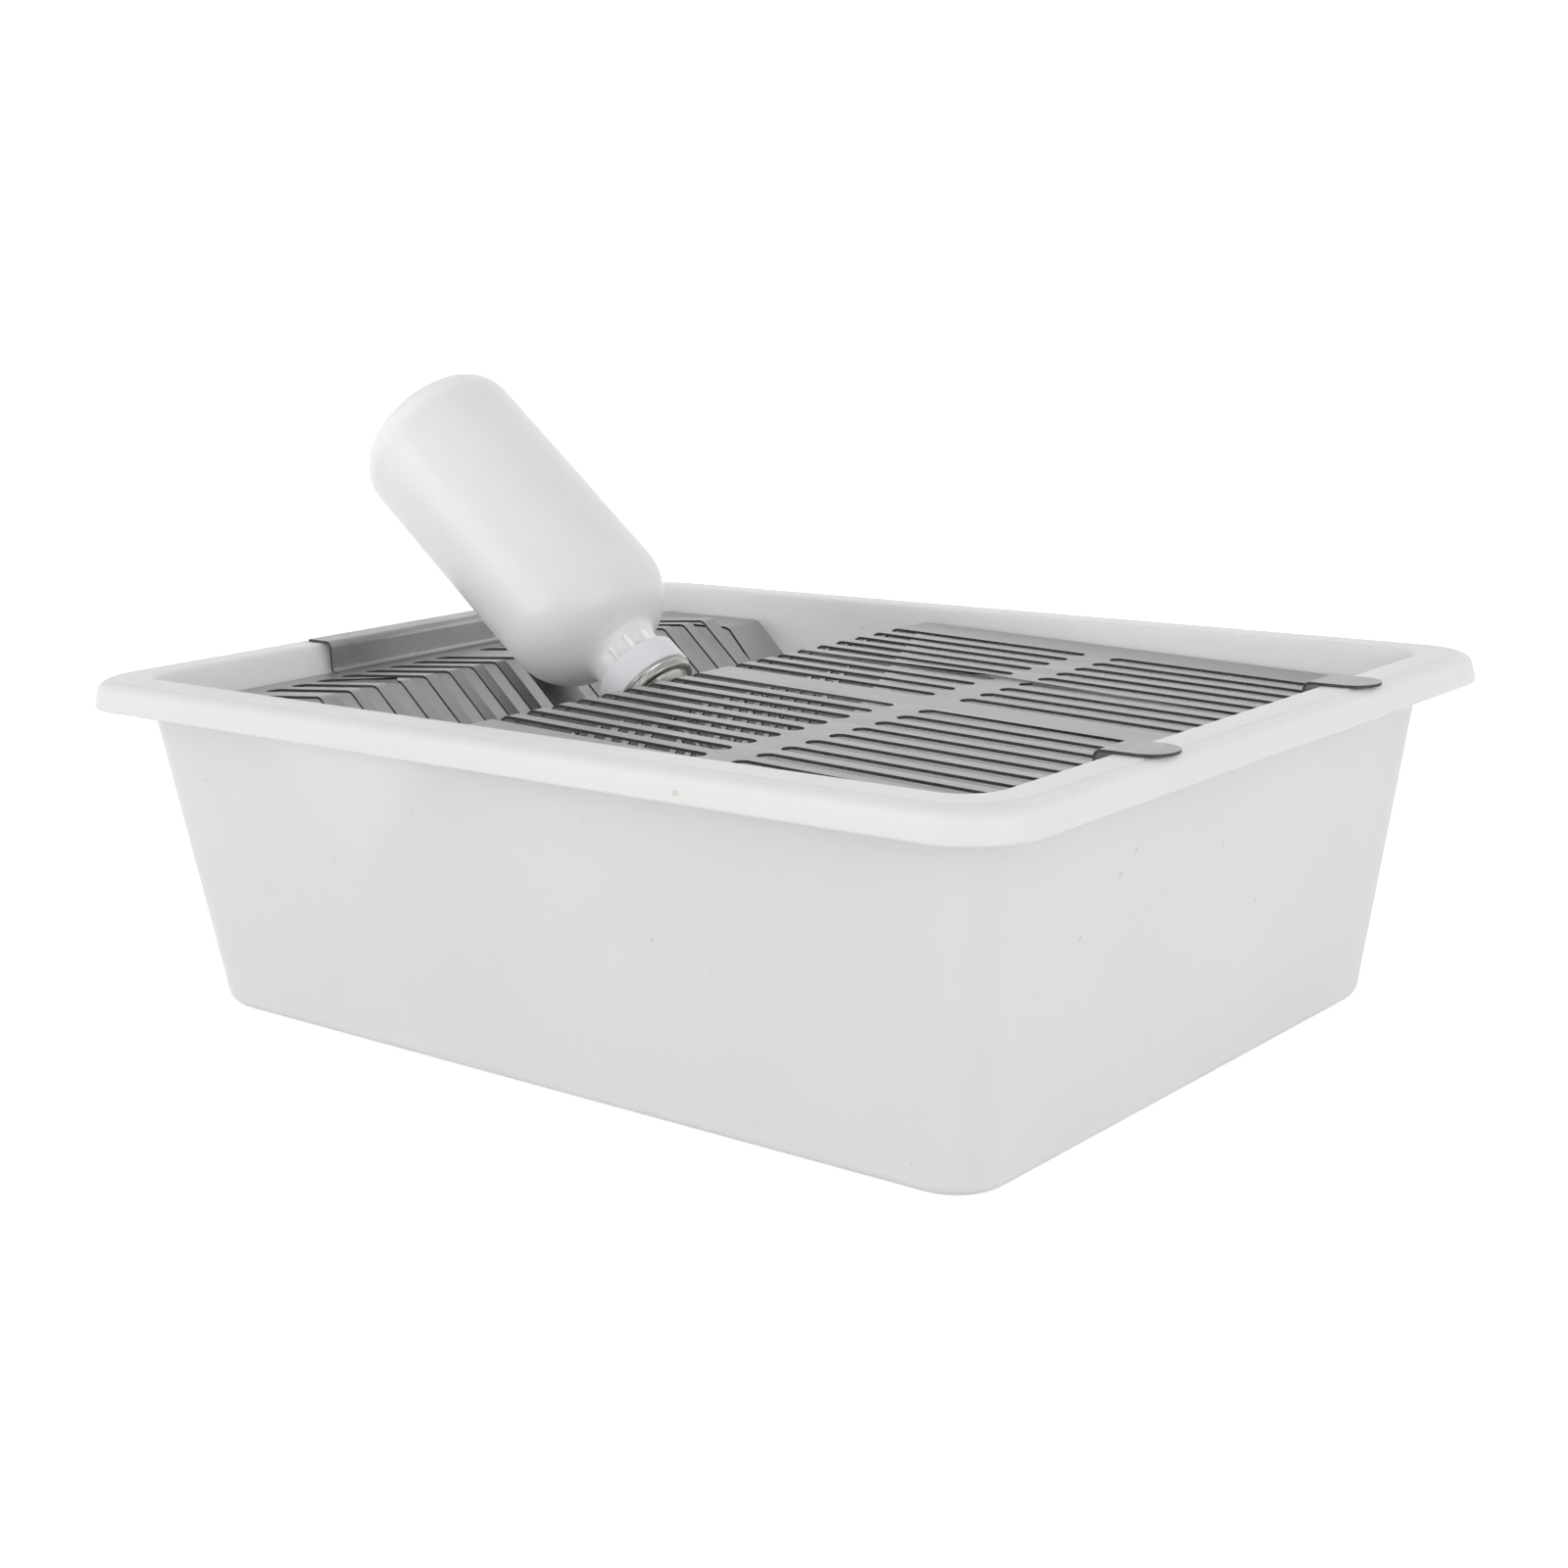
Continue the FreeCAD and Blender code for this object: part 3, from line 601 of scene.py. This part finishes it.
# %% Thickness and broken edges
BROKEN_EDGE = 0.12
lid.data.materials.append(None)
lid.data.materials.append(None)
thickness = lid.modifiers.new("sheet_thickness", "SOLIDIFY")
thickness.thickness = SHEET * MM
thickness.offset = -1
thickness.material_offset_rim = 1
broken = lid.modifiers.new("broken_edges", "BEVEL")
broken.width = BROKEN_EDGE * MM
broken.segments = 2
broken.limit_method = "ANGLE"
broken.angle_limit = math.radians(60)
bpy.ops.object.modifier_apply(modifier="sheet_thickness")
bpy.ops.object.modifier_apply(modifier="broken_edges")
bpy.ops.object.shade_smooth_by_angle(angle=math.radians(35))
print("the folded lid has", len(lid.data.polygons), "faces")

# %% [markdown]
# Surfaces come from small patterns that repeat nowhere: clouds in the plastic, brushing in the
# steel. Each pattern is a noise that reads the piece's own coordinates, stretched where the real
# mark is long. One helper makes the noise and another turns it into a narrow range of values.

# %% Pattern helpers
def new_finish(name):
    """A material with its shader."""
    finish = bpy.data.materials.new(name)
    finish.use_nodes = True
    return finish, finish.node_tree, finish.node_tree.nodes["Principled BSDF"]


def pattern(tree, scale, stretch=(1, 1, 1), turn=(0, 0, 0), detail=3.0, source="Object"):
    """A noise in the piece's own coordinates, with its own scale along each axis."""
    place = tree.nodes.new("ShaderNodeTexCoord")
    mapping = tree.nodes.new("ShaderNodeMapping")
    mapping.inputs["Scale"].default_value = stretch
    mapping.inputs["Rotation"].default_value = turn
    noise = tree.nodes.new("ShaderNodeTexNoise")
    noise.inputs["Scale"].default_value = scale
    noise.inputs["Detail"].default_value = detail
    tree.links.new(place.outputs[source], mapping.inputs["Vector"])
    tree.links.new(mapping.outputs["Vector"], noise.inputs["Vector"])
    return noise.outputs["Fac"]


def ranged(tree, value, low, high, start=0.3, end=0.7):
    """Maps a pattern's middle range to a range of values."""
    node = tree.nodes.new("ShaderNodeMapRange")
    for socket, number in zip(("From Min", "From Max", "To Min", "To Max"), (start, end, low, high)):
        node.inputs[socket].default_value = number
    tree.links.new(value, node.inputs["Value"])
    return node.outputs["Result"]


def tinted(tree, value, low, high, start=0.3, end=0.7):
    """Maps a pattern to a blend of two colours."""
    ramp = tree.nodes.new("ShaderNodeValToRGB")
    ramp.color_ramp.elements[0].position = start
    ramp.color_ramp.elements[1].position = end
    ramp.color_ramp.elements[0].color = (*low, 1)
    ramp.color_ramp.elements[1].color = (*high, 1)
    tree.links.new(value, ramp.inputs["Fac"])
    return ramp.outputs["Color"]


def raised(tree, shader, height, distance, strength=1.0):
    """Bump from a pattern."""
    bump = tree.nodes.new("ShaderNodeBump")
    bump.inputs["Distance"].default_value = distance
    bump.inputs["Strength"].default_value = strength
    tree.links.new(height, bump.inputs["Height"])
    tree.links.new(bump.outputs["Normal"], shader.inputs["Normal"])


def milky(shader, weight, depth):
    """Lets light into the surface to a depth in metres, the same for every colour."""
    shader.inputs["Subsurface Weight"].default_value = weight
    shader.inputs["Subsurface Radius"].default_value = (depth, depth, depth)
    shader.inputs["Subsurface Scale"].default_value = 1.0


# %% [markdown]
# The tub is natural polypropylene. It is milky, because light goes some millimetres into it and comes
# out elsewhere, which subsurface scattering gives. A flat white would look like paint. Moulding
# leaves faint clouds and a satin skin, and a few dark specks lie in the plastic.

# %% Tub plastic
tub_plastic, tree, shader = new_finish("tub_plastic")
clouds = tinted(tree, pattern(tree, 9.0), (0.80, 0.797, 0.787), (0.84, 0.837, 0.828))
specks = pattern(tree, 260.0, detail=0.0)
dots = tinted(tree, specks, (1, 1, 1), (0.86, 0.85, 0.83), start=0.87, end=0.885)
blend = tree.nodes.new("ShaderNodeMix")
blend.data_type = "RGBA"
blend.blend_type = "MULTIPLY"
blend.inputs["Factor"].default_value = 1.0
tree.links.new(clouds, blend.inputs["A"])
tree.links.new(dots, blend.inputs["B"])
tree.links.new(blend.outputs["Result"], shader.inputs["Base Color"])
tree.links.new(ranged(tree, pattern(tree, 35.0), 0.36, 0.46), shader.inputs["Roughness"])
raised(tree, shader, pattern(tree, 420.0, detail=2.0), 0.04 * MM)
shader.inputs["IOR"].default_value = 1.49
shader.inputs["Transmission Weight"].default_value = 0.12
milky(shader, 1.0, 0.006)
print("tub plastic has", len(tree.nodes), "nodes")

# %% [markdown]
# The lid's brushing follows the sheet round its folds, so it reads the flat sheet's own map: fine
# lines along the sheet, and broad, faint smudges left by handling. The cut faces are a second
# material, darker and duller.

# %% Lid steel and its cut edges
lid_steel, tree, shader = new_finish("lid_steel")
lines = pattern(tree, 1.0, stretch=(60, 2600, 1), detail=4.0, source="UV")
smudges = pattern(tree, 1.0, stretch=(22, 34, 1), source="UV")
colour = tinted(tree, lines, (0.40, 0.397, 0.388), (0.49, 0.487, 0.478))
tree.links.new(colour, shader.inputs["Base Color"])
tree.links.new(ranged(tree, smudges, 0.30, 0.42), shader.inputs["Roughness"])
raised(tree, shader, lines, 0.02 * MM, strength=0.6)
shader.inputs["Metallic"].default_value = 1.0
cut_edge, tree, shader = new_finish("cut_edge_steel")
burn = tinted(tree, pattern(tree, 900.0), (0.045, 0.044, 0.042), (0.085, 0.083, 0.080))
tree.links.new(burn, shader.inputs["Base Color"])
tree.links.new(ranged(tree, pattern(tree, 500.0), 0.45, 0.6), shader.inputs["Roughness"])
shader.inputs["Metallic"].default_value = 0.6
lid.data.materials[0] = lid_steel
lid.data.materials[1] = cut_edge
print("the lid's finishes:", [finish.name for finish in lid.data.materials])

# %% [markdown]
# The bottle is the same milky plastic, blown thinner and glossier. The collar is soft white
# silicone with a trace of violet. The cap is turned steel: its marks run round the axis, so its
# noise is squeezed hard along the axis and hardly at all across it. Where a roughness wanders across
# about 0.27 the reflections change with a hard edge, so the bottle's stays above that value and the
# cap's below it.

# %% Bottle plastic, collar silicone and cap steel
bottle_plastic, tree, shader = new_finish("bottle_plastic")
tree.links.new(tinted(tree, pattern(tree, 14.0), (0.885, 0.873, 0.867), (0.91, 0.901, 0.893)),
               shader.inputs["Base Color"])
tree.links.new(ranged(tree, pattern(tree, 60.0), 0.30, 0.37), shader.inputs["Roughness"])
raised(tree, shader, pattern(tree, 55.0, detail=2.0), 0.1 * MM)
shader.inputs["IOR"].default_value = 1.49
milky(shader, 1.0, 0.003)
collar_silicone, tree, shader = new_finish("collar_silicone")
tree.links.new(tinted(tree, pattern(tree, 40.0), (0.74, 0.725, 0.765), (0.78, 0.765, 0.80)),
               shader.inputs["Base Color"])
tree.links.new(ranged(tree, pattern(tree, 90.0), 0.42, 0.52), shader.inputs["Roughness"])
raised(tree, shader, pattern(tree, 600.0), 0.03 * MM)
milky(shader, 0.3, 0.004)
cap_steel, tree, shader = new_finish("cap_steel")
lean = math.atan2(-axis.z, axis.x)
turning = pattern(tree, 1.0, stretch=(3500, 30, 30), turn=(0, -lean, 0))
tree.links.new(tinted(tree, turning, (0.36, 0.35, 0.335), (0.55, 0.54, 0.52)),
               shader.inputs["Base Color"])
tree.links.new(ranged(tree, pattern(tree, 120.0), 0.20, 0.26), shader.inputs["Roughness"])
raised(tree, shader, turning, 0.02 * MM, strength=0.5)
shader.inputs["Metallic"].default_value = 1.0
print("bottle, collar and cap:", bottle_plastic.name, collar_silicone.name, cap_steel.name)

# %% [markdown]
# Each finished piece now takes its material and the body that it moves with, and the plain solids
# that it stands for are hidden.

# %% Riding on the frame
LID_NODES = ("hook_flange", "ledge_panel", "trough_slope", "trough_wall", "top_grille",
             "front_tab", "rear_tab")
fittings = (
    (tub, tub_plastic, "tub", ("tub",), "tub_plastic"),
    (lid, None, "lid", LID_NODES, "lid_steel"),
    (bottle, bottle_plastic, "bottle", ("bottle",), "bottle_plastic"),
    (collar, collar_silicone, "collar", ("sealing_collar",), "collar_silicone"),
    (cap, cap_steel, "cap", ("steel_cap",), "cap_steel"),
    (tube, cap_steel, "cap", ("sipper_tube",), "cap_steel"),
)
for piece, finish, body, nodes, slot in fittings:
    if finish:
        piece.data.materials.clear()
        piece.data.materials.append(finish)
    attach(piece, body)
    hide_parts(*nodes)
    print(piece.name, "rides on", body)

# %% [markdown]
# The cage stands on a pale floor that runs into a white surround. The camera sees white there. The
# floor's own paint takes the cage's shadow, and a glow that only the camera and reflections see
# lifts it to white.

# %% Floor
FLOOR_SIZE = 12
FLOOR_GLOW = 0.6
bpy.ops.mesh.primitive_plane_add(size=FLOOR_SIZE, location=(0, 0, 0))
floor = bpy.context.object
floor.name = "floor"
floor_paint, tree, shader = new_finish("floor_paint")
tree.links.new(tinted(tree, pattern(tree, 3.0), (0.80, 0.80, 0.80), (0.82, 0.82, 0.82)),
               shader.inputs["Base Color"])
shader.inputs["Roughness"].default_value = 0.9
shader.inputs["Specular IOR Level"].default_value = 0.0
paths = tree.nodes.new("ShaderNodeLightPath")
glow = tree.nodes.new("ShaderNodeEmission")
glow.inputs["Color"].default_value = (1, 1, 1, 1)
lift = tree.nodes.new("ShaderNodeMath")
lift.operation = "MULTIPLY"
lift.inputs[1].default_value = FLOOR_GLOW
both = tree.nodes.new("ShaderNodeAddShader")
seen = tree.nodes.new("ShaderNodeMath")
seen.operation = "MAXIMUM"
tree.links.new(paths.outputs["Is Camera Ray"], seen.inputs[0])
tree.links.new(paths.outputs["Is Glossy Ray"], seen.inputs[1])
tree.links.new(seen.outputs[0], lift.inputs[0])
tree.links.new(lift.outputs[0], glow.inputs["Strength"])
tree.links.new(shader.outputs[0], both.inputs[0])
tree.links.new(glow.outputs[0], both.inputs[1])
tree.links.new(both.outputs[0], tree.nodes["Material Output"].inputs["Surface"])
floor.data.materials.append(floor_paint)
print("the floor is", FLOOR_SIZE, "m wide")

# %% [markdown]
# The light that falls on the cage is plain: a surround that is brightest at the horizon and about
# half as bright overhead, like a studio's ceiling, and three large soft panels.

# %% World
HORIZON, OVERHEAD = 1.06, 0.57
world = bpy.data.worlds.new("studio")
bpy.context.scene.world = world
world.use_nodes = True
tree = world.node_tree
sky = tree.nodes["Background"]
sky.inputs["Color"].default_value = (1, 1, 1, 1)
way = tree.nodes.new("ShaderNodeTexCoord")
parts = tree.nodes.new("ShaderNodeSeparateXYZ")
tree.links.new(way.outputs["Generated"], parts.inputs["Vector"])
height = ranged(tree, parts.outputs["Z"], HORIZON, OVERHEAD, start=0.15, end=0.8)
paths = tree.nodes.new("ShaderNodeLightPath")
seen = tree.nodes.new("ShaderNodeMath")
seen.operation = "MAXIMUM"
tree.links.new(height, seen.inputs[0])
tree.links.new(paths.outputs["Is Camera Ray"], seen.inputs[1])
tree.links.new(seen.outputs[0], sky.inputs["Strength"])
print("the surround goes from", HORIZON, "to", OVERHEAD)


# %% Soft panels
PANEL_AIM = Vector((0, 0, 0.1))


def soft_panel(name, place, size, power):
    """An area lamp that faces the cage."""
    bpy.ops.object.light_add(type="AREA", location=place)
    lamp = bpy.context.object
    lamp.name = name
    lamp.data.shape = "RECTANGLE"
    lamp.data.size, lamp.data.size_y = size
    lamp.data.energy = power
    lamp.visible_camera = False
    aim = PANEL_AIM - Vector(place)
    lamp.rotation_mode = "QUATERNION"
    lamp.rotation_quaternion = aim.to_track_quat("-Z", "Y")
    return lamp


soft_panel("panel_left", (-0.7, -1.6, 0.40), (1.4, 0.8), 7.4)
soft_panel("panel_right", (1.6, -0.5, 0.40), (1.4, 0.8), 6.2)
soft_panel("panel_back", (-0.9, 1.5, 0.9), (1.8, 1.0), 9).visible_glossy = False
print("three panels, the back one unseen in reflections")

# %% [markdown]
# The camera looks down a little on the cage's near corner, through a slightly long lens, and it is
# tipped a degree and a half to one side, as a hand-held studio camera often is.

# %% Camera
HEADING, PITCH_DOWN, ROLL = math.radians(39.73), math.radians(12.37), math.radians(-1.634)
CAMERA_PLACE = (0.5408, -0.6474, 0.2649)
LENS, SENSOR = 54.98, 36.0
bpy.ops.object.camera_add(location=CAMERA_PLACE)
camera = bpy.context.object
camera.data.lens = LENS
camera.data.sensor_width = SENSOR
camera.rotation_mode = "QUATERNION"
look = Quaternion((0, 0, 1), HEADING) @ Quaternion((1, 0, 0), math.radians(90) - PITCH_DOWN)
camera.rotation_quaternion = look @ Quaternion((0, 0, 1), ROLL)
bpy.context.scene.camera = camera
bpy.context.scene.view_settings.view_transform = "Standard"

# %% Updating the scene
bpy.context.view_layer.update()
